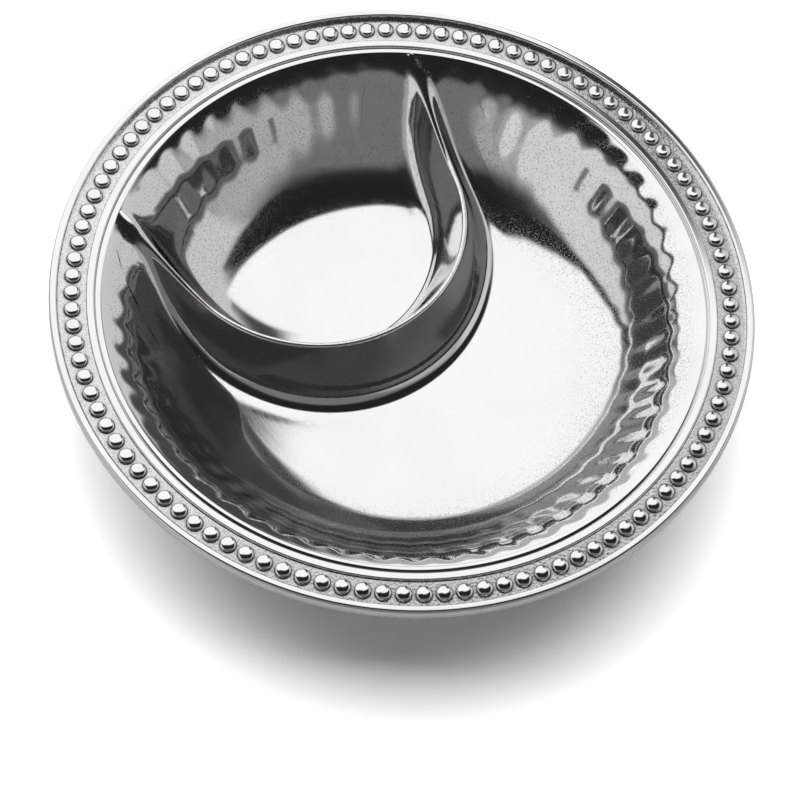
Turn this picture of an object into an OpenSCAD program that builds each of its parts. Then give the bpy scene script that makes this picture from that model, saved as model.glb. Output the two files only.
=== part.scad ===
// Round cast platter with a dip well walled off by a curved divider.
// Z points up, the platter stands on z = 0 and the dip well lies towards +Y.

/* [Bowl] */
// Diameter of the mouth, where the flared wall meets the rim
mouth_d = 289; // [278:1:310]
// Diameter of the dished floor
floor_d = 168; // [140:1:180]
// Height of the floor's edge over its middle
floor_sag = 8.5; // [4:0.5:12]
// Depth of the floor's middle below the ground of the rim
bowl_depth = 57.5; // [52:0.5:64]
// Tilt of the wall at its steepest, in degrees
wall_tilt = 56.5; // [52:0.5:62]
// Radius of the flare that turns the wall out to the mouth
flare_r = 36; // [24:1:42]
// Tilt that is left in the flare at the mouth, in degrees
lip_tilt = 22; // [10:1:30]
// Thickness of the cast shell
wall_t = 4; // [3:0.5:6]

/* [Flutes] */
// Number of flutes round the wall
flute_count = 54; // [36:1:60]
// Depth of a flute at its deepest
flute_depth = 0.36; // [0.2:0.05:1.5]
// Depth below the mouth at which the flutes run out
flute_drop = 40; // [30:1:44]
// Run below the mouth over which a flute grows
flute_rise = 7; // [3:0.5:12]
// Run over which a flute fades towards its lower end
flute_fall = 34; // [12:1:40]
// Flat stretch kept beside each end of the divider, in degrees
flute_clear = 4; // [2:0.5:8]
// Stretch over which the flutes grow beside it, in degrees
flute_fade = 4; // [2:0.5:8]

/* [Rim] */
// Thickness of the flange
flange_t = 3; // [2:0.5:5]
// Rounding of the flange's lower outer edge
flange_round = 1.5; // [0.5:0.1:1.9]
// Width of the roll at the mouth
roll_w = 3.7; // [2.5:0.1:5]
// Height of the roll
roll_h = 0.5; // [0.3:0.1:1.2]
// Width of the inner moulding
inner_w = 4.2; // [3:0.1:6]
// Height of the inner moulding
inner_h = 1.3; // [1:0.1:3]
// Rounding of the inner moulding's upper edges
inner_round = 0.9; // [0.2:0.1:0.9]
// Width of the bead channel between the mouldings
channel_w = 13.4; // [10:0.1:18]
// Width of the outer moulding
outer_w = 4.3; // [3.2:0.1:6]
// Height of the outer moulding
outer_h = 3.4; // [1.5:0.1:5]
// Rounding of the outer moulding's upper edges
outer_round = 1.3; // [0.3:0.1:1.4]

/* [Beads] */
// Number of beads round the rim
bead_count = 106; // [80:1:116]
// Diameter of a bead at its foot
bead_d = 8.2; // [5:0.1:8.6]
// Height of a bead
bead_h = 2.1; // [1:0.1:3.7]
// Squareness of a bead's section: 2 is round, and more is flatter on top
bead_power = 3.2; // [2:0.1:4]

/* [Divider] */
// Radius of the divider's round bend, along its crest
bend_r = 75.3; // [66:0.1:84]
// Half of the angle that the bend turns through, in degrees
bend_angle = 76; // [64:1:86]
// Offset of the bend's middle from the bowl's axis, towards the well
bend_offset = -1.3; // [-12:0.1:12]
// Depth of the level crest below the ground of the rim
crest_drop = 20.7; // [12:0.1:30]
// Length of the sweep in which the crest climbs to the mouth
crest_sweep = 64.7; // [50:0.1:76]
// Depth of the crest where it reaches the mouth
crest_end_drop = 1.2; // [0.8:0.1:3]
// Tilt of the crest where it reaches the mouth, in degrees
crest_end_tilt = 18; // [12:0.5:22]
// Radius of the rounded crest
crest_r = 1.7; // [1:0.1:2.5]
// Draft of the divider's faces, in degrees
draft = 18; // [8:0.5:22]
// Softness of the fillet along the divider's foot
fillet = 4; // [2.5:0.1:5]
// Softness of the fillet where it reaches the mouth
fillet_end = 1.2; // [0.6:0.1:2]
// Distance from the mouth over which the fillet narrows
fillet_fade = 16; // [10:1:30]

/* [Foot] */
// Clearance of the shell's lowest point over the surface that the platter stands on
foot_h = 2; // [1:0.5:5]
// Outer diameter of the foot ring
foot_d = 128; // [90:1:150]
// Width of the foot ring
foot_w = 8; // [5:0.5:14]

/* [Hidden] */
$fn = 96;

// Steps along a curve, down the wall, round a flute, over a bead and along the divider
arc_steps = 14;
cove_steps = 3;
flare_steps = 5;
flute_steps = 6;
bead_steps = 7;
crest_steps = 8;
station_count = 57;
bisections = 24;
// Crowding of the divider's points towards its crest
crest_crowding = 1.7;
// Thickness at which the divider's fillets and its ends are cut off
feather_t = 0.3;
end_t = 0.6;
// Reach within which the edge and the height of a fillet are looked for
foot_reach = 40;

// Radii across the rim, from the mouth outwards
mouth_r = mouth_d / 2;
inner_r = mouth_r + roll_w;
channel_r = inner_r + inner_w;
outer_r = channel_r + channel_w;
rim_r = outer_r + outer_w;
bead_circle_r = (channel_r + outer_r) / 2;

// Heights above the surface that the platter stands on
floor_z = foot_h + wall_t;
ground_z = floor_z + bowl_depth;

// The bowl's section, with z = 0 at the rim's ground: a dished floor, a cove that touches it at its edge,
// a straight wall that touches the cove, and a flare that touches the wall
floor_r = floor_d / 2;
dish_r = (pow(floor_r, 2) + pow(floor_sag, 2)) / (2 * floor_sag);
dish_o = [0, dish_r - bowl_depth];
dish_tilt = asin(floor_r / dish_r);
floor_edge = [floor_r, floor_sag - bowl_depth];
flare_o = [mouth_r, 0] - flare_r * facing(lip_tilt);
wall_high = flare_o + flare_r * facing(wall_tilt);
cove_r = (floor_edge - wall_high) * facing(wall_tilt) / (1 - cos(wall_tilt - dish_tilt));
cove_o = floor_edge + cove_r * facing(dish_tilt);
wall_low = cove_o - cove_r * facing(wall_tilt);

// Unit vectors square to and along a surface of a given tilt
function facing(tilt) = [-sin(tilt), cos(tilt)];
function along(tilt) = [cos(tilt), sin(tilt)];
function arc(centre, radius, from, to, steps) =
    [for (i = [0:steps]) centre + radius * facing(from + (to - from) * i / steps)];

// The ring where the fluted wall sits on the shell
joint_tilt = acos((cove_o[1] + flute_drop) / cove_r);
joint_in = cove_o - cove_r * facing(joint_tilt);
joint_out = joint_in - wall_t * facing(joint_tilt);
cove_run = cove_r * (wall_tilt - joint_tilt) * PI / 180;
straight_run = norm(wall_high - wall_low);
flare_run = flare_r * (wall_tilt - lip_tilt) * PI / 180;
wall_run = cove_run + straight_run + flare_run;

// Height of the bowl's inner surface at a radius, and a point's distance from that surface
function bowl_z(r) =
    r < floor_r ? dish_o[1] - sqrt(pow(dish_r, 2) - pow(r, 2))
    : r < wall_low[0] ? cove_o[1] - sqrt(pow(cove_r, 2) - pow(r - cove_o[0], 2))
    : r < wall_high[0] ? wall_low[1] + (r - wall_low[0]) * tan(wall_tilt)
    : flare_o[1] + sqrt(pow(flare_r, 2) - pow(flare_o[0] - min(r, flare_o[0]), 2));
function bowl_gap(r, z) =
    let (point = [r, z], climb = (point - wall_low) * along(wall_tilt))
    (point - floor_edge) * along(dish_tilt) < 0 ? dish_r - norm(point - dish_o)
    : climb < 0 ? cove_r - norm(point - cove_o)
    : climb < straight_run ? (point - wall_low) * facing(wall_tilt)
    : norm(point - flare_o) - flare_r;

// Plan of the divider's crest: a round bend and two straight legs, by distance s from its middle
bend_length = bend_r * bend_angle * PI / 180;
bend_o = [0, bend_offset + bend_r];
leg_start = bend_o + bend_r * [sin(bend_angle), -cos(bend_angle)];
leg_way = [cos(bend_angle), sin(bend_angle)];
function length_to(r) =
    let (run = leg_start * leg_way)
    bend_length + sqrt(pow(run, 2) + pow(r, 2) - pow(norm(leg_start), 2)) - run;
crest_length = length_to(mouth_r);
leg_end = leg_start + (crest_length - bend_length) * leg_way;
leg_end_angle = atan2(leg_end[0], leg_end[1]);
leg_slant = (leg_end * [leg_way[1], -leg_way[0]]) / (leg_end * leg_way);
function mirror_x(point, s) = [s < 0 ? -point[0] : point[0], point[1]];
function plan_angle(s) = min(abs(s) / bend_r * 180 / PI, bend_angle);
function plan_normal(s) = [sin(plan_angle(s)), -cos(plan_angle(s))];
function plan_point(s, n) = mirror_x(
    bend_o + (bend_r + n) * plan_normal(s) + max(abs(s) - bend_length, 0) * leg_way, s);
function crest_z(s) =
    let (
        climb = crest_drop - crest_end_drop,
        end = tan(crest_end_tilt) * crest_sweep / climb,
        u = min(max((abs(s) - crest_length) / crest_sweep + 1, 0), 1)
    )
    climb * ((3 - end) * pow(u, 2) + (end - 2) * pow(u, 3)) - crest_drop;

// Distance along the crest for a station that turns with the mouth as it nears the wall
function slanted(s, n) =
    sign(s) * (abs(s) - n * leg_slant * ease((abs(s) - bend_length) / (crest_length - bend_length)));

// Smaller of two distances with a fillet, and a point's distance from the divider's two faces
function fillet_at(r) = fillet_end + (fillet - fillet_end) * ease((mouth_r - r) / fillet_fade);
function blend(a, b, size) = min(a, b) - size * ln(1 + exp(-abs(a - b) / size));
function face_gap(n, h) =
    h * cos(draft) > abs(n) * sin(draft)
    ? norm([n, h]) - crest_r
    : abs(n) * cos(draft) + h * sin(draft) - crest_r;
function open_gap(s, n, z) =
    let (r = norm(plan_point(s, n)))
    blend(bowl_gap(r, z), face_gap(n, z - crest_z(s) + crest_r), fillet_at(r));

// Height of the filleted surface beside the crest, and its rise over the bowl
function halve_z(s, n, low, high, left) =
    let (middle = (low + high) / 2)
    left == 0 ? middle
    : open_gap(s, n, middle) > 0 ? halve_z(s, n, low, middle, left - 1)
    : halve_z(s, n, middle, high, left - 1);
function under_z(s, n) = bowl_z(norm(plan_point(s, n)));
function over_z(s, n) =
    halve_z(s, n, under_z(s, n), max(under_z(s, n), crest_z(s)) + foot_reach, bisections);
function rise(s, n) = over_z(s, n) - under_z(s, n);
// Distance from the crest, on one side, at which the fillet is as thin as a feather
function halve_n(s, side, low, high, left) =
    let (middle = (low + high) / 2, n = side * middle)
    left == 0 ? n
    : rise(slanted(s, n), n) > feather_t ? halve_n(s, side, middle, high, left - 1)
    : halve_n(s, side, low, middle, left - 1);
// Distance along the crest at which it has sunk into the flare
function halve_s(low, high, left) =
    let (middle = (low + high) / 2)
    left == 0 ? middle
    : rise(middle, 0) > end_t ? halve_s(middle, high, left - 1)
    : halve_s(low, middle, left - 1);

// Depth of the flutes at an angle from +Y and a run up the wall from its joint
function ease(x) = let (t = min(max(x, 0), 1)) t * t * (3 - 2 * t);
function beside_divider(angle) =
    ease((abs(abs(angle) - leg_end_angle) - flute_clear) / flute_fade);
function flute(angle, run) =
    flute_depth * (1 + cos(flute_count * angle)) / 2 * beside_divider(angle)
    * ease((wall_run - run) / flute_rise) * ease(run / flute_fall);

// Faces that close a stack of equal rings into a tube, each ring joined to the next one
function side_faces(rings, size, closed) = [
    for (i = [0:rings - (closed ? 1 : 2)], j = [0:size - 1])
        let (
            a = i * size + j,
            b = i * size + (j + 1) % size,
            c = ((i + 1) % rings) * size + (j + 1) % size,
            d = ((i + 1) % rings) * size + j
        )
        each [[a, b, c], [a, c, d]]
];

// Section of a bar with rounded upper edges, and of a low dome
function bar(w, h, r) = [
    [0, 0],
    each arc([r, h - r], r, 90, 0, arc_steps),
    each arc([w - r, h - r], r, 0, -90, arc_steps),
    [w, 0]
];
function dome(w, h) =
    let (radius = (pow(w / 2, 2) + pow(h, 2)) / (2 * h), edge = asin(w / 2 / radius))
    arc([w / 2, h - radius], radius, edge, -edge, arc_steps);

// A section turned round the axis, at a radius and on the rim's ground
module ring_on_rim(r, section) {
    translate([0, 0, ground_z])
        rotate_extrude()
            translate([r, 0])
                polygon(section);
}

module bowl_shell() {
    color("gainsboro")
        translate([0, 0, ground_z])
            rotate_extrude()
                polygon([
                    each arc(dish_o, -dish_r, 0, dish_tilt, arc_steps),
                    each arc(cove_o, -cove_r, dish_tilt, joint_tilt, arc_steps),
                    each arc(cove_o, -cove_r - wall_t, joint_tilt, dish_tilt, arc_steps),
                    each arc(dish_o, -dish_r - wall_t, dish_tilt, 0, arc_steps)
                ]);
}

// One ring of points runs up the inside of the wall and down its outside, at one angle from +Y
module fluted_wall() {
    inside = [
        for (i = [0:cove_steps])
            let (share = i / cove_steps, tilt = joint_tilt + (wall_tilt - joint_tilt) * share)
            [cove_o - cove_r * facing(tilt), tilt, cove_run * share],
        for (i = [0:flare_steps])
            let (share = i / flare_steps, tilt = wall_tilt + (lip_tilt - wall_tilt) * share)
            [flare_o + flare_r * facing(tilt), tilt, cove_run + straight_run + flare_run * share]
    ];
    outside = [
        [mouth_r, -wall_t / cos(lip_tilt)],
        each arc(flare_o, flare_r - wall_t, (lip_tilt + wall_tilt) / 2, wall_tilt, 1),
        each arc(cove_o, -cove_r - wall_t, wall_tilt, joint_tilt, cove_steps)
    ];
    function station(angle) = [
        for (p = inside) p[0] - flute(angle, p[2]) * facing(p[1]),
        each outside
    ];
    columns = flute_count * flute_steps;
    size = len(inside) + len(outside);
    points = [
        for (i = [0:columns - 1])
            let (angle = 360 * i / columns - 180)
            for (p = station(angle)) [p[0] * sin(angle), p[0] * cos(angle), p[1]]
    ];
    color("gainsboro")
        translate([0, 0, ground_z])
            polyhedron(points, side_faces(columns, size, true));
}

// The ring's top follows the underside of the dished floor
module foot_ring() {
    foot_r = foot_d / 2;
    under_r = dish_r + wall_t;
    color("darkgray")
        translate([0, 0, ground_z])
            rotate_extrude()
                polygon([
                    [foot_r - foot_w, -ground_z],
                    [foot_r, -ground_z],
                    each arc(dish_o, -under_r, asin(foot_r / under_r), asin((foot_r - foot_w) / under_r), arc_steps)
                ]);
}

module rim_flange() {
    rounded = arc([rim_r - flange_round, flange_round - flange_t], flange_round, -90, -180, arc_steps);
    color("silver")
        translate([0, 0, ground_z])
            rotate_extrude()
                polygon([[mouth_r, 0], [rim_r, 0], each rounded, [mouth_r, -flange_t]]);
}

module mouth_roll() {
    color("whitesmoke")
        ring_on_rim(mouth_r, dome(roll_w, roll_h));
}

module inner_moulding() {
    color("whitesmoke")
        ring_on_rim(inner_r, bar(inner_w, inner_h, inner_round));
}

module outer_moulding() {
    color("whitesmoke")
        ring_on_rim(outer_r, bar(outer_w, outer_h, outer_round));
}

// A low button: its section is an ellipse that is squared towards a flat top
module bead() {
    curve = [
        for (i = [0:bead_steps])
            let (turn = 90 * i / bead_steps)
            [bead_d / 2 * pow(cos(turn), 2 / bead_power), bead_h * pow(sin(turn), 2 / bead_power)]
    ];
    rotate_extrude()
        polygon([[0, 0], each curve]);
}

module bead_row() {
    color("white")
        for (i = [0:bead_count - 1])
            rotate(360 * i / bead_count)
                translate([bead_circle_r, 0, ground_z])
                    bead();
}

// One ring of points runs over the divider from its inner foot to its outer one and back beneath it
module dip_divider() {
    s_end = halve_s(bend_length, crest_length, bisections);
    shares = [
        for (i = [-crest_steps:crest_steps]) sign(i) * pow(abs(i) / crest_steps, crest_crowding)
    ];
    function ring(s) =
        let (
            inner = halve_n(s, -1, 0, foot_reach, bisections),
            outer = halve_n(s, 1, 0, foot_reach, bisections)
        )
        [
            for (share = shares)
                let (n = share < 0 ? -share * inner : share * outer)
                [n, over_z(slanted(s, n), n)],
            for (n = [outer, outer / 2, 0, inner / 2, inner])
                [n, under_z(slanted(s, n), n)]
        ];
    stations = [for (i = [0:station_count - 1]) s_end * (2 * i / (station_count - 1) - 1)];
    rings = [for (s = stations) ring(s)];
    size = len(rings[0]);
    points = [
        for (i = [0:station_count - 1], p = rings[i])
            let (plan = plan_point(slanted(stations[i], p[0]), p[0]))
            [plan[0], plan[1], p[1]]
    ];
    first_end = [for (j = [size - 1:-1:0]) j];
    last_end = [for (j = [0:size - 1]) (station_count - 1) * size + j];
    color("lightgray")
        translate([0, 0, ground_z])
            polyhedron(points, [each side_faces(station_count, size, false), first_end, last_end]);
}

bowl_shell();
fluted_wall();
foot_ring();
rim_flange();
mouth_roll();
inner_moulding();
bead_row();
outer_moulding();
dip_divider();
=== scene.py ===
# %% [markdown]
# # A cast platter with a dip well
# The object is a round serving platter, poured in one go from aluminium and polished until it mirrors
# the room. It has a wide bowl with a fluted wall, a rim with a row of beads, and a curved divider that
# walls off a well for the dip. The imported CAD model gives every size. This script builds the same
# pieces again with enough faces for clean reflections, and then lights them like a studio photo.

import bpy
import numpy as np
from mathutils import Matrix


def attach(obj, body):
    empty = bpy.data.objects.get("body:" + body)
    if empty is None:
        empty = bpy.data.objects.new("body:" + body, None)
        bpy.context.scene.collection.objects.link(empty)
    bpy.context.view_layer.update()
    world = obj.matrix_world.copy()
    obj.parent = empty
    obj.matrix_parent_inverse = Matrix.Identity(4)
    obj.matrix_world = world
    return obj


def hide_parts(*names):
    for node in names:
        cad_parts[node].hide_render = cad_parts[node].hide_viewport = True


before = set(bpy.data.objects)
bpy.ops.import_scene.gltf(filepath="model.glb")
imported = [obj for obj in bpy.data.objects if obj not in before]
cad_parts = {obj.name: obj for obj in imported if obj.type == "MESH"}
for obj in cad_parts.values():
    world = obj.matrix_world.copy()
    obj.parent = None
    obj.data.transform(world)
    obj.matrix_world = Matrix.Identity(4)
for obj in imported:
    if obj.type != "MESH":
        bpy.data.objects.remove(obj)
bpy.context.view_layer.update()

# %% [markdown]
# ## Sizes
# Lengths are in millimetres here, as on a drawing, with z = 0 at the ground of the rim. Each mesh is
# turned into metres, and lifted to its place, only when it is built. The CAD source holds the same
# numbers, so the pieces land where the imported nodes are.

# %% Sizes of the bowl and the rim
MM = 0.001
GROUND_Z = 63.5
MOUTH_R, FLOOR_R, DEPTH, FLOOR_SAG = 144.5, 84.0, 57.5, 8.5
WALL_TILT, LIP_TILT, FLARE_R = np.radians(56.5), np.radians(22), 36.0
WALL_T, FLUTE_DROP = 4.0, 40.0
COLUMNS = 972
print("rim ground is", GROUND_Z, "mm above the table")

# %% [markdown]
# ## A helper that turns sections into closed skins
# Most of the platter is turned: a section swept round the axis. A mirror shows the slightest fault in
# the direction of a surface, more than in its place, so the helper works out the normals from the
# points themselves and stores them as custom normals. A piece is given as runs, each one smooth, and
# the edge where two runs meet stays crisp.

# %% Turn and skin helpers
TINY = 1e-9


def turned(section, columns=COLUMNS):
    """Rows of points round the axis, one row for each point of the section."""
    angle = np.arange(columns) * 2 * np.pi / columns
    r, z = np.asarray(section, float).T
    return np.stack([r[:, None] * np.cos(angle), r[:, None] * np.sin(angle),
                     np.repeat(z[:, None], columns, 1)], -1)


def unit(v):
    """Directions of length one."""
    return v / np.maximum(np.linalg.norm(v, axis=-1, keepdims=True), 1e-12)


def grid_normals(run, ring=True):
    """Normals of a grid of points, exact to second order at the edges too."""
    down = np.gradient(run, axis=0, edge_order=2 if len(run) > 2 else 1)
    across = (np.roll(run, -1, 1) - np.roll(run, 1, 1)) if ring else np.gradient(run, axis=1, edge_order=2)
    normal = np.cross(down, across)
    normal[np.linalg.norm(normal, axis=-1) < TINY] = (0, 0, 1)
    return unit(normal)


def skin(name, runs, closed=False, normals=None, ring=True):
    """One mesh from runs of rows: a run starts on the last row of the run before it."""
    rows = np.concatenate([runs[0]] + [run[1:] for run in runs[1:]])
    ids = np.arange(rows.shape[0] * rows.shape[1]).reshape(rows.shape[:2])
    if closed:
        ids[-1] = ids[0]
    for end in (0, -1):
        if np.ptp(rows[end], axis=0).max() < TINY:
            ids[end] = ids[end, 0]
    faces, corner_normals, start = [], [], 0
    for index, run in enumerate(runs):
        normal = grid_normals(run, ring) if normals is None or normals[index] is None else normals[index]
        last = run.shape[1] if ring else run.shape[1] - 1
        step = (np.arange(run.shape[1]) + 1) % run.shape[1]
        for i in range(len(run) - 1):
            a, b = ids[start + i], ids[start + i + 1]
            corners = np.stack([a, b, b[step], a[step]], 1)[:last]
            turns = np.stack([normal[i], normal[i + 1], normal[i + 1][step], normal[i][step]], 1)[:last]
            keep = [0, 1, 2, 3]
            if a[0] == a[-1]:
                keep = [0, 1, 2]
            elif b[0] == b[-1]:
                keep = [0, 1, 3]
            faces += corners[:, keep].tolist()
            corner_normals.append(turns[:, keep].reshape(-1, 3))
        start += len(run) - 1
    used, packed = np.unique(np.concatenate([np.ravel(f) for f in faces]), return_inverse=True)
    points = (rows.reshape(-1, 3)[used] + (0, 0, GROUND_Z)) * MM
    split = np.cumsum([len(f) for f in faces])[:-1]
    mesh = bpy.data.meshes.new(name)
    mesh.from_pydata(points.tolist(), [], [f.tolist() for f in np.split(packed, split)])
    mesh.shade_smooth()
    mesh.normals_split_custom_set(np.concatenate(corner_normals).tolist())
    piece = bpy.data.objects.new(name, mesh)
    bpy.context.scene.collection.objects.link(piece)
    print(name, "has", len(mesh.polygons), "faces")
    return piece


# %% [markdown]
# ## The section of the bowl
# The floor is slightly dished. The wall is an ogee: a cove turns the floor up, and a flare turns the
# wall out again to the mouth. All three are circles, and one straight line touches the cove and the
# flare. Working with true arcs keeps the reflections free of kinks.

# %% Section of the bowl
def facing(tilt):
    """The direction that a surface with this tilt looks in, across the section."""
    return np.stack([-np.sin(tilt), np.cos(tilt)], -1)


dish_r = (FLOOR_R ** 2 + FLOOR_SAG ** 2) / (2 * FLOOR_SAG)
dish_o = np.array([0, dish_r - DEPTH])
dish_tilt = np.arcsin(FLOOR_R / dish_r)
floor_edge = np.array([FLOOR_R, FLOOR_SAG - DEPTH])
mouth_edge = np.array([MOUTH_R, 0.0])
flare_o = mouth_edge - FLARE_R * facing(LIP_TILT)
wall_high = flare_o + FLARE_R * facing(WALL_TILT)
cove_r = (floor_edge - wall_high) @ facing(WALL_TILT) / (1 - np.cos(WALL_TILT - dish_tilt))
cove_o = floor_edge + cove_r * facing(dish_tilt)
wall_low = cove_o - cove_r * facing(WALL_TILT)
joint_tilt = np.arccos((cove_o[1] + FLUTE_DROP) / cove_r)
joint_in = cove_o - cove_r * facing(joint_tilt)
joint_out = joint_in - WALL_T * facing(joint_tilt)
print("the cove has a radius of", cove_r.round(1), "mm")

# %% [markdown]
# ## Heights and distances in the bowl
# The divider, further down, grows out of the bowl. It needs to know how high the inner surface is at
# any radius, and how far any point is from it. Both follow from the arcs, piece by piece.

# %% Height and distance of the inner surface
def arc(centre, radius, start, stop, steps):
    """Points on a circle between two tilts."""
    return centre + radius * facing(np.linspace(start, stop, steps + 1))


def bowl_z(r):
    """Height of the bowl's inner surface at a radius."""
    dish = dish_o[1] - np.sqrt(dish_r ** 2 - np.minimum(r, FLOOR_R) ** 2)
    cove = cove_o[1] - np.sqrt(np.maximum(cove_r ** 2 - (r - cove_o[0]) ** 2, 0))
    straight = wall_low[1] + (r - wall_low[0]) * np.tan(WALL_TILT)
    flare = flare_o[1] + np.sqrt(np.maximum(FLARE_R ** 2 - (flare_o[0] - np.minimum(r, flare_o[0])) ** 2, 0))
    wall = np.where(r < wall_low[0], cove, np.where(r < wall_high[0], straight, flare))
    return np.where(r < FLOOR_R, dish, wall)


def bowl_gap(r, z):
    """Distance of a point from the bowl's inner surface."""
    past_floor = (r - floor_edge[0]) * np.cos(dish_tilt) + (z - floor_edge[1]) * np.sin(dish_tilt)
    climb = (r - wall_low[0]) * np.cos(WALL_TILT) + (z - wall_low[1]) * np.sin(WALL_TILT)
    dish = dish_r - np.hypot(r, z - dish_o[1])
    cove = cove_r - np.hypot(r - cove_o[0], z - cove_o[1])
    straight = -(r - wall_low[0]) * np.sin(WALL_TILT) + (z - wall_low[1]) * np.cos(WALL_TILT)
    flare = np.hypot(r - flare_o[0], z - flare_o[1]) - FLARE_R
    on_wall = np.where(climb < np.hypot(*(wall_high - wall_low)), straight, flare)
    return np.where(past_floor < 0, dish, np.where(climb < 0, cove, on_wall))


print("the floor lies", -float(bowl_z(0.0)), "mm below the rim")

# %% [markdown]
# ## The shell of the bowl
# The floor and the cove are one turned skin: up the inside, over the joint with the wall, and down the
# outside back to the axis. The inside mirrors the room, so it gets more steps than the underside.

# %% Bowl shell
DISH_STEPS, COVE_STEPS, BACK_COVE_STEPS, BACK_DISH_STEPS = 24, 40, 16, 12
inside = np.concatenate([arc(dish_o, -dish_r, 0, dish_tilt, DISH_STEPS)[:-1],
                         arc(cove_o, -cove_r, dish_tilt, joint_tilt, COVE_STEPS)])
outside = np.concatenate([arc(cove_o, -cove_r - WALL_T, joint_tilt, dish_tilt, BACK_COVE_STEPS)[:-1],
                          arc(dish_o, -dish_r - WALL_T, dish_tilt, 0, BACK_DISH_STEPS)])
bowl_shell = skin("bowl_shell_look", [turned(inside), turned([joint_in, joint_out]), turned(outside)])

# %% [markdown]
# ## Node helpers
# What repeats is built by Geometry Nodes. The helpers below add a node, fill its inputs with values or
# links and hand back its result, so that a tree reads from top to bottom like a recipe.

# %% Node helpers
def add(tree, kind, inputs=None, **settings):
    """A new node, with its inputs set to values or linked to other nodes."""
    node = tree.nodes.new(kind)
    for name, value in settings.items():
        setattr(node, name, value)
    for socket, value in (inputs or {}).items():
        if isinstance(value, bpy.types.NodeSocket):
            tree.links.new(value, node.inputs[socket])
        else:
            node.inputs[socket].default_value = value
    return node


def calc(tree, operation, *values):
    """The result of one step of arithmetic."""
    return add(tree, "ShaderNodeMath", dict(enumerate(values)), operation=operation).outputs[0]


def times(tree, a, b):
    return calc(tree, "MULTIPLY", a, b)


def vector(tree, operation, inputs, output="Vector"):
    """The result of one step with vectors."""
    return add(tree, "ShaderNodeVectorMath", inputs, operation=operation).outputs[output]


def new_tree(name, sizes):
    """A geometry tree with a named input for each size, and its group input node."""
    tree = bpy.data.node_groups.new(name, "GeometryNodeTree")
    tree.interface.new_socket("Geometry", in_out="INPUT", socket_type="NodeSocketGeometry")
    tree.interface.new_socket("Geometry", in_out="OUTPUT", socket_type="NodeSocketGeometry")
    for size, kind in sizes.items():
        tree.interface.new_socket(size, in_out="INPUT", socket_type="NodeSocket" + kind)
    return tree, add(tree, "NodeGroupInput").outputs


def end_tree(tree, geometry, material):
    """Makes copies real, gives them a finish and sends them out."""
    real = add(tree, "GeometryNodeRealizeInstances", {"Geometry": geometry})
    coat = add(tree, "GeometryNodeSetMaterial", {"Geometry": real.outputs[0], "Material": material})
    add(tree, "NodeGroupOutput", {"Geometry": coat.outputs[0]})


def grown(piece, tree, sizes):
    """The plain mesh that a tree makes from a piece with these sizes. The piece is used up."""
    modifier = piece.modifiers.new(tree.name, "NODES")
    modifier.node_group = tree
    for item in tree.interface.items_tree:
        if item.in_out == "INPUT" and item.name in sizes:
            modifier[item.identifier] = sizes[item.name]
    bpy.context.view_layer.update()
    seen = piece.evaluated_get(bpy.context.evaluated_depsgraph_get())
    mesh = bpy.data.meshes.new_from_object(seen)
    piece.modifiers.remove(modifier)
    bpy.data.objects.remove(piece)
    return mesh


# %% [markdown]
# ## Numbers on points
# A mesh can carry a number on every point, called an attribute, which trees and finishes read by its
# name. The helpers below write such numbers and read the points of a mesh back.

# %% Attribute helpers
def mark(mesh, name, values):
    mesh.attributes.new(name, "FLOAT", "POINT").data.foreach_set("value", np.ravel(values))


def coords(mesh):
    """The points of a mesh, in metres."""
    flat = np.empty(len(mesh.vertices) * 3)
    mesh.vertices.foreach_get("co", flat)
    return flat.reshape(-1, 3)


def rows_of(mesh, plain):
    """The points of a grown mesh in millimetres, in the same rows as the plain one."""
    return (coords(mesh) / MM - (0, 0, GROUND_Z)).reshape(plain.shape)


print("the bowl's shell has", len(coords(bowl_shell.data)), "points")

# %% [markdown]
# ## Polished and cast metal
# All of it is taken to be bare aluminium. The inside is buffed to a mirror. The walls keep fine pits that
# the wheel never closed, and the turning leaves faint rings. The ground between the beads and the foot
# stay as the mould left them. Every pattern is laid out in the object's own coordinates, so it stays in place
# when the platter is moved.

# %% Pattern helpers
RING_SLOW, RING_FAST = 1.6, 420.0


def ranged(tree, value, low, high, start, stop):
    """A value spread from one range to another, with soft ends."""
    return add(tree, "ShaderNodeMapRange", {
        "Value": value, "From Min": low, "From Max": high, "To Min": start, "To Max": stop},
        interpolation_type="SMOOTHSTEP").outputs["Result"]


def noise(tree, place, scale, detail):
    return add(tree, "ShaderNodeTexNoise", {"Vector": place, "Scale": scale, "Detail": detail}).outputs["Fac"]


def turned_place(tree, place):
    """Coordinates that run slowly round the axis and fast outwards, for marks left by turning."""
    xyz = add(tree, "ShaderNodeSeparateXYZ", {0: place}).outputs
    flat = add(tree, "ShaderNodeCombineXYZ", {"X": xyz["X"], "Y": xyz["Y"]}).outputs[0]
    r = vector(tree, "LENGTH", {0: flat}, "Value")
    way = vector(tree, "NORMALIZE", {0: flat})
    way = vector(tree, "SCALE", {0: way, "Scale": RING_SLOW})
    outward = add(tree, "ShaderNodeCombineXYZ", {"Z": times(tree, r, RING_FAST)}).outputs[0]
    return vector(tree, "ADD", {0: way, 1: outward})


def emptied(owner):
    """The node tree of a material or a world, with nothing in it."""
    owner.use_nodes = True
    owner.node_tree.nodes.clear()
    return owner.node_tree
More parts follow.
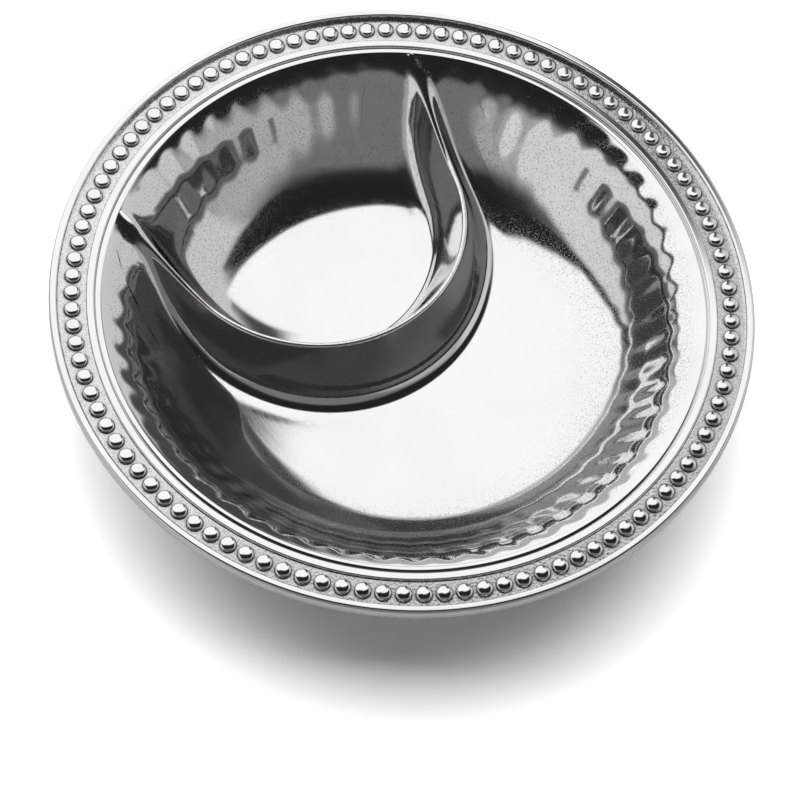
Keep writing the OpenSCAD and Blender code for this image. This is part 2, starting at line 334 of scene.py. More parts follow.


# %% [markdown]
# ## One recipe for all finishes
# A finish starts from a tone and a roughness. Noise makes the tone cloudy and the gloss uneven, and small
# bumps stand for grain, pits and rings. Where a piece carries the attribute for matt metal and painted shade,
# the metal turns rougher and darker. That darkening is partly the tone of matt metal, and partly painted
# shade in the crevices, on the bead flanks and on the outer edge.

# %% Metal finishes
CLOUD_SCALE, CLOUD_DEPTH = 30.0, 0.02
PIT_SCALE, PIT_SHADE = 1700.0, 0.5
PITS_FROM, PITS_UP_TO, PITS_ON_LIP = (0.010, 0.022), (0.060, 0.064), 0.2
MIDDLE_NOISE, PIT_NOISE, MOTTLE_NOISE = (0.3, 0.7), (0.58, 0.68), (0.36, 0.56)
SMOOTHEST, ROUGHEST = 0.7, 1.4
# Tone and roughness where the attribute for matt metal and painted shade is full; the darker tone is partly
# matt metal and partly painted shade.
MATT_AND_SHADE_TONE, MATT_ROUGHNESS, MATT_RANGE = 0.32, 0.5, (0.2, 0.8)


def metal(name, shade, roughness, grain, grain_depth, pits=0.0, streaks=0.0, mottle=0.0):
    """Bare metal: cloudy in tone, uneven in gloss, with grain, pits, turned streaks or a dark mottle."""
    material = bpy.data.materials.new(name)
    tree = emptied(material)
    place = add(tree, "ShaderNodeTexCoord").outputs["Object"]
    fine = noise(tree, place, grain, 3.0)
    clouds = noise(tree, place, CLOUD_SCALE, 4.0)
    tone = ranged(tree, clouds, *MIDDLE_NOISE, shade - CLOUD_DEPTH, shade + CLOUD_DEPTH)
    gloss = ranged(tree, fine, *MIDDLE_NOISE, roughness * SMOOTHEST, roughness * ROUGHEST)
    layers = [(fine, grain_depth)]
    if pits:
        height = add(tree, "ShaderNodeSeparateXYZ", {0: place}).outputs["Z"]
        unmopped = times(tree, ranged(tree, height, *PITS_FROM, 0.0, 1.0),
                         ranged(tree, height, *PITS_UP_TO, 1.0, PITS_ON_LIP))
        specks = ranged(tree, noise(tree, place, PIT_SCALE, 1.0), *PIT_NOISE, 0.0, 1.0)
        holes = times(tree, specks, unmopped)
        layers.append((ranged(tree, holes, 0.0, 1.0, 1.0, 0.0), pits))
        tone = times(tree, tone, ranged(tree, holes, 0.0, 1.0, 1.0, PIT_SHADE))
    if streaks:
        layers.append((noise(tree, turned_place(tree, place), 1.0, 2.0), streaks))
    if mottle:
        tone = times(tree, tone, ranged(tree, fine, *MOTTLE_NOISE, 1.0 - mottle, 1.0))
    # Painted shade: this attribute darkens the tone in the crevices, on the bead flanks and on the outer
    # edge; on the underside it is the tone of matt metal.
    matt_and_shade_share = add(tree, "ShaderNodeAttribute", attribute_name="matt_and_shade").outputs["Fac"]
    tone = times(tree, tone, ranged(tree, matt_and_shade_share, 0.0, 1.0, 1.0, MATT_AND_SHADE_TONE))
    gloss = ranged(tree, matt_and_shade_share, *MATT_RANGE, gloss, MATT_ROUGHNESS)
    normal = {}
    for height, depth in layers:
        bump = add(tree, "ShaderNodeBump", {"Height": height, "Strength": 1.0, "Distance": depth, **normal})
        normal = {"Normal": bump.outputs["Normal"]}
    shader = add(tree, "ShaderNodeBsdfPrincipled", {
        "Base Color": tone, "Metallic": 1.0, "Roughness": gloss, **normal})
    add(tree, "ShaderNodeOutputMaterial", {"Surface": shader.outputs["BSDF"]})
    return material


polished = metal("polished aluminium", 0.92, 0.06, 1300.0, 0.000004, pits=0.00001, streaks=0.000006)
stippled = metal("stippled aluminium", 0.90, 0.22, 1600.0, 0.00003, mottle=0.4)
cast = metal("cast aluminium", 0.62, 0.40, 700.0, 0.00005)
print("finishes:", polished.name, stippled.name, cast.name)

# %% [markdown]
# ## The plan of the divider
# Seen from above, the divider is a bend with two straight legs. It comes before the wall, because the
# flutes keep clear of the places where the legs meet the wall.

# %% Plan of the divider
BEND_R, BEND_ANGLE, BEND_OFFSET = 75.3, np.radians(76), -1.3
bend_o = np.array([0, BEND_OFFSET + BEND_R])
bend_length = BEND_R * BEND_ANGLE
leg_start = bend_o + BEND_R * np.array([np.sin(BEND_ANGLE), -np.cos(BEND_ANGLE)])
leg_way = np.array([np.cos(BEND_ANGLE), np.sin(BEND_ANGLE)])
leg_run = leg_start @ leg_way
crest_length = bend_length + np.sqrt(leg_run ** 2 + MOUTH_R ** 2 - leg_start @ leg_start) - leg_run
leg_end = leg_start + (crest_length - bend_length) * leg_way
leg_end_angle = np.arctan2(leg_end[0], leg_end[1])
leg_slant = (leg_end @ [leg_way[1], -leg_way[0]]) / (leg_end @ leg_way)
print("divider meets the wall", round(np.degrees(leg_end_angle), 1), "degrees from its middle")

# %% [markdown]
# ## The fluted wall
# The upper wall is rippled by shallow flutes, two beads apart. Each flute is deepest on the flare and
# dies out towards the cove. First comes the plain turned wall, with two things noted on each point:
# how strong the flutes are there, and which way the wall faces.

# %% Plain wall and the strength of its flutes
FLUTES, FLUTE_DEPTH, FLUTE_RISE, FLUTE_FALL = 54, 0.36, 7.0, 34.0
FLUTE_CLEAR, FLUTE_FADE = np.radians(4), np.radians(4)
COVE_ROWS, STRAIGHT_ROWS, FLARE_ROWS = 20, 10, 32


def ease(x):
    """A step from 0 to 1 with soft ends."""
    t = np.clip(x, 0, 1)
    return t * t * (3 - 2 * t)


cove_tilts = np.linspace(joint_tilt, WALL_TILT, COVE_ROWS)
flare_tilts = np.linspace(WALL_TILT, LIP_TILT, FLARE_ROWS)
straight = np.linspace(wall_low, wall_high, STRAIGHT_ROWS)[1:-1]
wall_section = np.concatenate([cove_o - cove_r * facing(cove_tilts), straight,
                               flare_o + FLARE_R * facing(flare_tilts)])
wall_facing = facing(np.concatenate([cove_tilts, np.full(len(straight), WALL_TILT), flare_tilts]))
run_length = np.r_[0, np.cumsum(np.linalg.norm(np.diff(wall_section, axis=0), axis=1))]
below_mouth = run_length[-1] - run_length
plain_wall = turned(wall_section)
around = np.arctan2(plain_wall[0, :, 0], plain_wall[0, :, 1])
beside = ease((np.abs(np.abs(around) - leg_end_angle) - FLUTE_CLEAR) / FLUTE_FADE)
strength = (ease(below_mouth / FLUTE_RISE) * ease(run_length / FLUTE_FALL))[:, None] * beside
blank = skin("wall_blank", [plain_wall])
mark(blank.data, "strength", strength)
blank.data.attributes.new("facing", "FLOAT_VECTOR", "POINT").data.foreach_set(
    "vector", -turned(wall_facing).ravel())

# %% [markdown]
# ## Flutes by a rule
# A node tree pushes the plain wall back along its own facing by a cosine round the axis, so the number
# and the depth of the flutes stay inputs. The result is closed with a back and two edges.

# %% Fluted wall
BACK_FLARE_STEPS, BACK_WALL_STEPS = 12, 8
flutes, sizes = new_tree("flutes", {"Flutes": "Int", "Depth": "Float"})
place = add(flutes, "GeometryNodeInputPosition").outputs[0]
xyz = add(flutes, "ShaderNodeSeparateXYZ", {0: place}).outputs
angle = calc(flutes, "ARCTAN2", xyz[0], xyz[1])
wave = calc(flutes, "COSINE", times(flutes, angle, sizes["Flutes"]))
wave = calc(flutes, "MULTIPLY_ADD", wave, 0.5, 0.5)
fade = add(flutes, "GeometryNodeInputNamedAttribute", {"Name": "strength"}, data_type="FLOAT").outputs[0]
way = add(flutes, "GeometryNodeInputNamedAttribute", {"Name": "facing"}, data_type="FLOAT_VECTOR").outputs[0]
push = times(flutes, times(flutes, wave, fade), sizes["Depth"])
back = vector(flutes, "SCALE", {0: way, "Scale": push})
moved = add(flutes, "GeometryNodeSetPosition", {"Geometry": sizes["Geometry"], "Offset": back}).outputs[0]
end_tree(flutes, moved, polished)

fluted_run = rows_of(grown(blank, flutes, {"Flutes": FLUTES, "Depth": FLUTE_DEPTH * MM}), plain_wall)
mouth_low = [MOUTH_R, -WALL_T / np.cos(LIP_TILT)]
mouth_run = turned([[MOUTH_R, fluted_run[-1, 0, 2]], mouth_low])
mouth_run[0] = fluted_run[-1]
back_run = turned(np.concatenate([
    [mouth_low], arc(flare_o, FLARE_R - WALL_T, LIP_TILT, WALL_TILT, BACK_FLARE_STEPS),
    arc(cove_o, -cove_r - WALL_T, WALL_TILT, joint_tilt, BACK_WALL_STEPS)]))
seat_run = turned([joint_out, joint_in])
seat_run[1] = fluted_run[0]
fluted_wall = skin("fluted_wall_look", [fluted_run, mouth_run, back_run, seat_run], closed=True)

# %% [markdown]
# ## The rim
# A flat flange carries the border. Its ground is stippled, so that the smooth beads stand out. The
# radii follow from the widths, from the mouth outwards.

# %% Sizes across the rim
ROLL_W, ROLL_H, INNER_W, INNER_H = 3.7, 0.5, 4.2, 1.3
CHANNEL_W, OUTER_W, OUTER_H = 13.4, 4.3, 3.4
INNER_ROUND, OUTER_ROUND = 0.9, 1.3
FLANGE_T, FLANGE_ROUND = 3.0, 1.5
inner_r = MOUTH_R + ROLL_W
channel_r = inner_r + INNER_W
outer_r = channel_r + CHANNEL_W
rim_r = outer_r + OUTER_W
print("rim radii:", inner_r, channel_r, outer_r, rim_r)

# %% [markdown]
# ## The stippled ground
# A node tree lifts and lowers the points of the ground by a fine noise, which is real relief and not
# only a bump in the finish. It works in the channel alone: under the mouldings the flange stays flat.

# %% Flange with its stippled ground
STIPPLE_COLUMNS, STIPPLE_ROWS = 1590, 27
STIPPLE_GRAIN, STIPPLE_DEPTH = 1500.0, 0.25
LAP, NEARLY, EDGE_STEPS = 0.3, 0.2, 8
stipple, sizes = new_tree("stipple", {"Grain": "Float", "Depth": "Float"})
place = add(stipple, "GeometryNodeInputPosition").outputs[0]
dots = noise(stipple, place, sizes["Grain"], 1.0)
level = calc(stipple, "SUBTRACT", dots, 0.5)
fade = add(stipple, "GeometryNodeInputNamedAttribute", {"Name": "strength"}, data_type="FLOAT").outputs[0]
level = times(stipple, times(stipple, level, fade), sizes["Depth"])
lift = add(stipple, "ShaderNodeCombineXYZ", {"Z": level}).outputs[0]
moved = add(stipple, "GeometryNodeSetPosition", {"Geometry": sizes["Geometry"], "Offset": lift}).outputs[0]
end_tree(stipple, moved, stippled)

ground_r = np.r_[MOUTH_R, np.linspace(channel_r - LAP, outer_r + LAP, STIPPLE_ROWS), rim_r]
plain_ground = turned(np.stack([ground_r, np.zeros_like(ground_r)], -1), STIPPLE_COLUMNS)
on_ground = ((ground_r > channel_r - NEARLY) & (ground_r < outer_r + NEARLY)).astype(float)
blank = skin("ground_blank", [plain_ground])
mark(blank.data, "strength", np.repeat(on_ground, STIPPLE_COLUMNS))
rough = grown(blank, stipple, {"Grain": STIPPLE_GRAIN, "Depth": STIPPLE_DEPTH * MM})
ground_run = rows_of(rough, plain_ground)
edge_o = np.array([rim_r - FLANGE_ROUND, FLANGE_ROUND - FLANGE_T])
edge = np.concatenate([[[rim_r, 0]], arc(edge_o, FLANGE_ROUND, -np.pi / 2, -np.pi, EDGE_STEPS)])
under = [edge[-1], [MOUTH_R, -FLANGE_T]]
rim_flange = skin("rim_flange_look", [
    ground_run, turned(edge, STIPPLE_COLUMNS), turned(under, STIPPLE_COLUMNS),
    turned([under[-1], [MOUTH_R, 0]], STIPPLE_COLUMNS)], closed=True)

# %% [markdown]
# ## The mouldings
# Three plain rings frame the border: a low roll at the mouth, and a bar with rounded edges on each side
# of the beads. Each is a small section turned round the axis.

# %% Mouldings
ROUND_STEPS, FLAT_ROWS, ROLL_STEPS = 8, 6, 12


def bar(r, w, h, rounding):
    """Section of a bar with two rounded upper edges."""
    left = arc(np.array([rounding, h - rounding]), rounding, np.pi / 2, 0, ROUND_STEPS)
    right = arc(np.array([w - rounding, h - rounding]), rounding, 0, -np.pi / 2, ROUND_STEPS)
    flat = np.linspace(left[-1], right[0], FLAT_ROWS)[1:-1]
    return np.concatenate([[[0, 0]], left, flat, right, [[w, 0]]]) + (r, 0)


def dome(r, w, h):
    """Section of a low round roll."""
    ball = ((w / 2) ** 2 + h ** 2) / (2 * h)
    edge = np.arcsin(w / 2 / ball)
    return arc(np.array([w / 2, h - ball]), ball, edge, -edge, ROLL_STEPS) + (r, 0)


def moulding(name, section):
    return skin(name, [turned(section), turned([section[-1], section[0]])], closed=True)


mouth_roll = moulding("mouth_roll_look", dome(MOUTH_R, ROLL_W, ROLL_H))
inner_moulding = moulding("inner_moulding_look", bar(inner_r, INNER_W, INNER_H, INNER_ROUND))
outer_moulding = moulding("outer_moulding_look", bar(outer_r, OUTER_W, OUTER_H, OUTER_ROUND))

# %% [markdown]
# ## The shape of a bead
# A bead is a squat ball with full shoulders. The tree starts from a round ball and stretches every
# direction by a power rule, called a superellipse, whose squareness is an input. The lower half of the
# ball is pressed flat, which closes it below the ground.

# %% Bead shape
BEADS, BEAD_D, BEAD_H, BEAD_POWER = 106, 8.2, 2.1, 3.2
BEAD_SINK, BEAD_SEGMENTS, BEAD_RINGS = 0.4, 24, 16
LEAST, JUST_BELOW = 0.000001, -0.001
bead_circle_r = (channel_r + outer_r) / 2
beads, sizes = new_tree("beads", {"Beads": "Int", "Circle": "Float", "Width": "Float", "Tall": "Float",
                                  "Squareness": "Float", "Sink": "Float", "Height": "Float"})
ball = add(beads, "GeometryNodeMeshUVSphere", {
    "Segments": BEAD_SEGMENTS, "Rings": BEAD_RINGS, "Radius": 1.0}).outputs[0]
place = add(beads, "GeometryNodeInputPosition").outputs[0]
xyz = add(beads, "ShaderNodeSeparateXYZ", {0: place}).outputs
flat = add(beads, "ShaderNodeCombineXYZ", {"X": xyz[0], "Y": xyz[1]}).outputs[0]
out_p = calc(beads, "POWER", vector(beads, "LENGTH", {0: flat}, "Value"), sizes["Squareness"])
lifted = calc(beads, "MAXIMUM", xyz[2], 0.0)
lifted_p = calc(beads, "POWER", lifted, sizes["Squareness"])
total = calc(beads, "MAXIMUM", calc(beads, "ADD", out_p, lifted_p), LEAST)
grow = calc(beads, "POWER", total, calc(beads, "DIVIDE", -1.0, sizes["Squareness"]))
below = calc(beads, "LESS_THAN", xyz[2], JUST_BELOW)
grow = add(beads, "ShaderNodeMix", {0: below, 2: grow, 3: 1.0}).outputs[0]
wide = times(beads, grow, times(beads, sizes["Width"], 0.5))
top_z = times(beads, lifted, times(beads, grow, sizes["Tall"]))
end_z = calc(beads, "SUBTRACT", top_z, times(beads, below, sizes["Sink"]))
shaped = add(beads, "ShaderNodeCombineXYZ", {
    "X": times(beads, xyz[0], wide), "Y": times(beads, xyz[1], wide), "Z": end_z}).outputs[0]
ball = add(beads, "GeometryNodeSetPosition", {"Geometry": ball, "Position": shaped}).outputs[0]
ball = add(beads, "GeometryNodeSetShadeSmooth", {"Geometry": ball}).outputs[0]
print("one bead is", BEAD_D, "mm wide and stands", BEAD_H, "mm high")

# %% [markdown]
# ## The row of beads
# A hundred and six beads stand in the channel. They are all the same, so the tree sets copies of the one
# bead on the points of a circle and makes them real at the end.

# %% Bead row
ring = add(beads, "GeometryNodeMeshCircle", {
    "Vertices": sizes["Beads"], "Radius": sizes["Circle"]}).outputs[0]
row = add(beads, "GeometryNodeInstanceOnPoints", {"Points": ring, "Instance": ball}).outputs[0]
lift = add(beads, "ShaderNodeCombineXYZ", {"Z": sizes["Height"]}).outputs[0]
row = add(beads, "GeometryNodeTransform", {"Geometry": row, "Translation": lift}).outputs[0]
end_tree(beads, row, polished)
blank = bpy.data.objects.new("bead_blank", bpy.data.meshes.new("bead_blank"))
bpy.context.scene.collection.objects.link(blank)
bead_mesh = grown(blank, beads, {
    "Beads": BEADS, "Circle": bead_circle_r * MM, "Width": BEAD_D * MM, "Tall": BEAD_H * MM,
    "Squareness": BEAD_POWER, "Sink": BEAD_SINK * MM, "Height": GROUND_Z * MM})
bead_row = bpy.data.objects.new("bead_row_look", bead_mesh)
bpy.context.scene.collection.objects.link(bead_row)
print("bead_row has", len(bead_mesh.polygons), "faces")

# %% [markdown]
# ## Matt metal and painted shade
# A polishing mop shines what stands proud. The whole underside stays matt and darker. The crevices round
# the beads, the beads' own flanks and the outer edge are matt as well, and their colour is also darkened
# as painted shade: the shade in the crevices and towards the foot of each bead, and the shadowed table that
# the outer edge would mirror. Every point gets a number for that, from 0 to 1, in an attribute for matt
# metal and painted shade, and the finishes read it. An attribute follows the shape by itself.

# %% Matt metal, and painted shade in the crevices, on the bead flanks and on the outer edge
CREVICE, UNDER, EDGE = 0.7, 1.2, 0.3
# How dark and matt the painted shade is in the crevices round the beads and on the bead flanks.
CREVICE_MATT_AND_SHADE, FLANK_MATT_AND_SHADE = 0.6, 0.55
FLANK_TOP, FLANK_SOFT = 0.5, 0.42


def mark_matt_and_shade(mesh, share):
    mark(mesh, "matt_and_shade", share)
    # The share counts matt points, and the points with painted shade among them.
    print(mesh.name, "is matt at", round(100 * float(np.mean(share > 0.5))), "percent of its points")


ground = coords(rim_flange.data) / MM
turn = np.arctan2(ground[:, 1], ground[:, 0])
nearest = np.round(turn * BEADS / (2 * np.pi)) * 2 * np.pi / BEADS
off_bead = np.hypot(ground[:, 0] - bead_circle_r * np.cos(nearest),
                    ground[:, 1] - bead_circle_r * np.sin(nearest))
# Painted shade: a dark ring round the foot of each bead, where shade falls in the crevice; the ground is also
# rougher there.
crevice_matt_and_shade = CREVICE_MATT_AND_SHADE * np.exp(-np.maximum(off_bead - BEAD_D / 2, 0) / CREVICE)
# Painted shade: the outer edge is matt, and its colour is darkened to stand for the shadowed table it would
# mirror. The underside is matt metal.
rim_edge = np.hypot(ground[:, 0], ground[:, 1]) > rim_r - EDGE
mark_matt_and_shade(rim_flange.data, np.where(rim_edge | (ground[:, 2] < GROUND_Z - UNDER), 1.0, crevice_matt_and_shade))
# Painted shade: the outer side of the outer bar is matt, and darkened like the flange's edge.
bar_points = coords(outer_moulding.data) / MM
on_edge = np.hypot(bar_points[:, 0], bar_points[:, 1]) > rim_r - EDGE
mark_matt_and_shade(outer_moulding.data, on_edge.astype(float))
# Painted shade: each bead's flank is matt, and its colour grows darker towards the foot, where shade falls.
bead_rise = (coords(bead_mesh)[:, 2] / MM - GROUND_Z) / BEAD_H
mark_matt_and_shade(bead_mesh, FLANK_MATT_AND_SHADE * (1 - ease((bead_rise - FLANK_TOP) / FLANK_SOFT)))
for shell in (bowl_shell, fluted_wall):
    points = coords(shell.data) / MM
    depth = bowl_z(np.hypot(points[:, 0], points[:, 1])) + GROUND_Z - points[:, 2]
    mark_matt_and_shade(shell.data, (depth > UNDER).astype(float))

# %% [markdown]
# ## The crest of the divider
# The divider is a thin wall with drafted faces. Its crest is level in the middle and then sweeps up to
# the mouth. A place on it is given by s, the way along the crest, and n, the way across it.

# %% Crest of the divider
CREST_DROP, CREST_SWEEP, CREST_END_DROP, CREST_END_TILT = 20.7, 64.7, 1.2, np.radians(18)
CREST_R, DRAFT, FILLET, FILLET_END, FILLET_FADE = 1.7, np.radians(18), 4.0, 2.4, 12.0


def plan_point(s, n):
    """Where a place on the divider lies, seen from above."""
    turn = np.minimum(np.abs(s) / BEND_R, BEND_ANGLE)
    leg = np.maximum(np.abs(s) - bend_length, 0)
    x = (BEND_R + n) * np.sin(turn) + leg * leg_way[0]
    y = bend_o[1] - (BEND_R + n) * np.cos(turn) + leg * leg_way[1]
    return np.where(s < 0, -x, x), y


def crest_z(s):
    """Level in the middle, then a sweep that runs out along the flare."""
    climb = CREST_DROP - CREST_END_DROP
    end = np.tan(CREST_END_TILT) * CREST_SWEEP / climb
    u = np.clip((np.abs(s) - crest_length) / CREST_SWEEP + 1, 0, 1)
    return climb * ((3 - end) * u ** 2 + (end - 2) * u ** 3) - CREST_DROP


def slanted(s, n):
    """The way along the crest for a station that turns with the mouth as it nears the wall."""
    turned_share = ease((np.abs(s) - bend_length) / (crest_length - bend_length))
    return np.sign(s) * (np.abs(s) - n * leg_slant * turned_share)


print("the crest lies", -float(crest_z(0.0)), "mm below the rim in the middle")

# %% [markdown]
# ## Melting the divider into the bowl
# The divider grows out of the bowl in soft fillets. Where two surfaces melt into each other, distances
# are the easiest language: one distance to the bowl, one to the divider, and a smooth minimum of both.
# The surface lies where that minimum is zero, and halving a span again and again finds it.

# %% Smooth minimum
FEATHER, REACH = 0.02, 40.0


def fillet_at(r):
    """The fillet narrows as it runs up to the mouth."""
    return FILLET_END + (FILLET - FILLET_END) * ease((MOUTH_R - r) / FILLET_FADE)


def open_gap(s, n, z):
    """Distance of a place from the melted surface, less than zero inside the metal."""
    h = z - crest_z(s) + CREST_R
    top = np.hypot(n, h) - CREST_R
    side = np.abs(n) * np.cos(DRAFT) + h * np.sin(DRAFT) - CREST_R
    face = np.where(h * np.cos(DRAFT) > np.abs(n) * np.sin(DRAFT), top, side)
    r = np.hypot(*plan_point(s, n))
    bowl = bowl_gap(r, z)
    fillet = fillet_at(r)
    return -fillet * np.logaddexp(-face / fillet, -bowl / fillet)


def halved(low, high, is_low, steps=40):
    """The value where a test turns from true to false, found by halving."""
    for _ in range(steps):
        middle = (low + high) / 2
        under = is_low(middle)
        low, high = np.where(under, middle, low), np.where(under, high, middle)
    return (low + high) / 2


def over_z(s, n):
    """Height of the melted surface."""
    under = bowl_z(np.hypot(*plan_point(s, n)))
    return halved(under, np.maximum(under, crest_z(s)) + REACH, lambda z: open_gap(s, n, z) <= 0)


def rise(s, n):
    """How far the melted surface stands above the bowl."""
    return over_z(s, n) - bowl_z(np.hypot(*plan_point(s, n)))


s_end = float(halved(np.float64(bend_length), np.float64(crest_length), lambda s: rise(s, 0.0) > 4 * FEATHER))
print("crest runs", round(2 * s_end), "mm from wall to wall")

# %% [markdown]
# ## The skin of the divider
# A grid is laid over the melted surface: stations along the crest, and steps across it that crowd
# together at the narrow top. Each station ends where the fillet is a feather's edge. The normals come
# from the slope of the distance, which is smoother than the grid, and a bed closes the skin below.

# %% Divider skin
STATIONS, ACROSS, CROWDING, BED_ROWS = 361, 121, 1.7, 7
SLOPE_STEP, TUCK, EDGE_SINK = 0.02, 0.25, 0.06


def gap_at(x, y, z):
    """The same distance for a point in the part's own frame."""
    side = np.where(x < 0, -1.0, 1.0)
    ax = np.abs(x)
    turn = np.arctan2(ax, bend_o[1] - y)
    on_leg = (turn > BEND_ANGLE) | (turn < 0)
    leg = (ax - leg_start[0]) * leg_way[0] + (y - leg_start[1]) * leg_way[1]
    n_leg = (ax - leg_start[0]) * leg_way[1] - (y - leg_start[1]) * leg_way[0]
    s = np.where(on_leg, bend_length + leg, turn * BEND_R)
    n = np.where(on_leg, n_leg, np.hypot(ax, bend_o[1] - y) - BEND_R)
    return open_gap(side * s, n, z)


def fillet_edge(side):
    """The way across, on one side, at which the fillet has run out."""
    return side * halved(np.zeros(STATIONS), np.full(STATIONS, REACH),
                         lambda n: rise(slanted(stations, side * n), side * n) > FEATHER)


stations = np.linspace(-s_end, s_end, STATIONS)
inner_edge, outer_edge = fillet_edge(-1), fillet_edge(1)
steps = np.linspace(-1, 1, ACROSS)
shares = np.sign(steps) * np.abs(steps) ** CROWDING
n_grid = np.where(shares[:, None] < 0, -shares[:, None] * inner_edge, shares[:, None] * outer_edge)
s_grid = slanted(np.repeat(stations[None], ACROSS, 0), n_grid)
over = np.stack([*plan_point(s_grid, n_grid), over_z(s_grid, n_grid)], -1)
slope = [gap_at(*np.moveaxis(over + way, -1, 0)) - gap_at(*np.moveaxis(over - way, -1, 0))
         for way in SLOPE_STEP * np.eye(3)]
over_normals = unit(np.stack(slope, -1))
over[[0, -1], :, 2] -= EDGE_SINK
bed_n = np.linspace(outer_edge, inner_edge, BED_ROWS)
bed_x, bed_y = plan_point(slanted(np.repeat(stations[None], BED_ROWS, 0), bed_n), bed_n)
bed = np.stack([bed_x, bed_y, bowl_z(np.hypot(bed_x, bed_y)) - TUCK], -1)
bed[0], bed[-1] = over[-1], over[0]
dip_divider = skin("dip_divider_look", [over, bed], closed=True, normals=[over_normals, None], ring=False)

# %% [markdown]
# ## Hand the pieces to the frame
# The platter is one casting, so every piece rides on the same body and takes the place of the packed
# node with its name. The table lists each piece with a slot name and the finish it wears. The foot is a
# plain ring that hardly shows, so the imported node itself stays and gets the cast finish.

# %% Slots and bodies
finish_of = {
    bowl_shell: ("polished_metal", polished), fluted_wall: ("polished_metal", polished),
    mouth_roll: ("polished_metal", polished), inner_moulding: ("polished_metal", polished),
    bead_row: ("polished_metal", polished), outer_moulding: ("polished_metal", polished),
    dip_divider: ("polished_metal", polished), rim_flange: ("stippled_metal", stippled),
}
for piece, (slot, material) in finish_of.items():
    piece.data.materials.clear()
    piece.data.materials.append(material)
    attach(piece, "root")
    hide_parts(piece.name.removesuffix("_look"))
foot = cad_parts["foot_ring"]
foot.data.materials.clear()
foot.data.materials.append(cast)
print(len(finish_of), "pieces ride on the root, and the foot keeps its packed mesh")

# %% [markdown]
# ## Camera
# The camera is set to match the view of the photo. It was worked out from the beads: they are evenly
# spaced on a circle, so the way they crowd together in the photo tells how the view is tilted and turned
# and how strong its perspective is. A long lens from far off keeps that perspective weak.

# %% Camera
AXIS_TURN = np.radians(43.4)
ELEVATION, ROLL, DISTANCE = np.radians(59.62), np.radians(9.05), 1.603
AIM_RIGHT, AIM_AWAY = 5.8, -56.0
LENS, SENSOR, CLIP_START = 152.6, 36, 0.05


def placed(x_way, y_way, z_way, place):
    """The matrix of an object with these axes at this place."""
    matrix = np.eye(4)
    matrix[:3] = np.stack([x_way, y_way, z_way, place], 1)
    return Matrix(matrix.tolist())


right = np.array([np.cos(AXIS_TURN), -np.sin(AXIS_TURN), 0])
away = np.array([np.sin(AXIS_TURN), np.cos(AXIS_TURN), 0])
up = np.array([0, 0, 1.0])
target = (AIM_RIGHT * right + AIM_AWAY * away + GROUND_Z * up) * MM
view = np.cos(ELEVATION) * away - np.sin(ELEVATION) * up
level_up = np.cross(right, view)
camera_x = np.cos(ROLL) * right + np.sin(ROLL) * level_up
camera_y = -np.sin(ROLL) * right + np.cos(ROLL) * level_up
lens = bpy.data.cameras.new("photo_camera")
lens.lens, lens.sensor_width = LENS, SENSOR
lens.clip_start = CLIP_START
camera = bpy.data.objects.new("photo_camera", lens)
camera.matrix_world = placed(camera_x, camera_y, -view, target - DISTANCE * view)
bpy.context.scene.collection.objects.link(camera)
bpy.context.scene.camera = camera
print("camera at", np.round(target - DISTANCE * view, 3), "m")

# %% [markdown]
# ## Panels round the platter
# Polished metal has hardly any look of its own: it shows what stands around it. The studio is drawn as
# panels on a chart of the sky. The middle of the chart is straight up, x counts degrees to the right and
# y degrees to the back, and the camera hangs at (0, -30). Each panel has corners, a level from black 0
# to white 1, and a softness in degrees. Later panels cover earlier ones. In the photo, what the bowl mirrors
# twice is darker than a clean mirror would show, so light on its second reflection has a few panels of
# its own. That is a choice made for the stage, and says nothing about the metal.

# %% Panels
PANELS = [
    ("left front", [(-48, -14), (-36, -34), (-24, -46), (-13, -54), (-8, -110), (-80, -110), (-60, -8)],
     0.38, 8),
    ("front", [(-16, -22), (40, -22), (46, -50), (44, -110), (-14, -110), (-20, -60)], 0.17, 8),
    ("left wall", [(-120, 48), (-78, 48), (-74, 36), (-66, 22), (-54, 7), (-47, -3), (-44, -12), (-41, -30),
                   (-38, -50), (-34, -110), (-120, -110)], 0.68, 4),
    ("right wall", [(40, 8), (47, -10), (49, -40), (46, -110), (120, -110), (120, 8)], 0.42, 11),
    ("right box", [(35, 22), (41, 8), (60, 5), (120, 5), (120, 36), (74, 40), (60, 52), (46, 62), (30, 64),
                   (16, 62), (16, 30), (26, 28)], 0.6, 4),
    ("back left", [(-120, 40), (-72, 42), (-62, 52), (-44, 58), (-12, 60), (4, 60), (0, 120), (-120, 120)],
     0.46, 6),
    ("back right", [(8, 37), (15, 37), (15, 63), (30, 67), (48, 65), (62, 54), (76, 42), (120, 40),
                    (100, 120), (0, 120), (3, 76)], 0.06, 4),
    ("soft box", [(-67, 30), (-60, 19), (-46, 5), (-33, 3), (-20, 5), (-8, 12), (4, 14), (14, 18), (21, 25),
                  (23, 34), (8, 38), (7, 52), (6, 66), (0, 73), (-14, 76), (-34, 70), (-52, 58), (-64, 44)],
     1.0, 2),
    ("flag foot", [(-36, -6), (39, -4), (38, -14), (30, -20), (4, -25), (-6, -33), (-22, -36), (-34, -24)],
     0.02, 7),
    ("front flag", [(-73, 40), (-67, 28), (-58, 16), (-46, 4), (-33, 2), (-20, 4), (-8, 11), (4, 13),
                    (12, 16), (23, 24), (34, 25), (38, 12), (40, 0), (38, -10), (0, -14), (-30, -14),
                    (-38, -10), (-44, -4), (-54, 5), (-66, 19), (-74, 32), (-79, 42)], 0.016, 2),
    ("left skirting", [(-76, -32), (-80, 0), (-74, 30), (-84, 36), (-92, 0), (-86, -38)], 0.1, 3),
    ("right skirting", [(76, -32), (80, 0), (74, 34), (84, 36), (92, 0), (86, -38)], 0.1, 3),
]
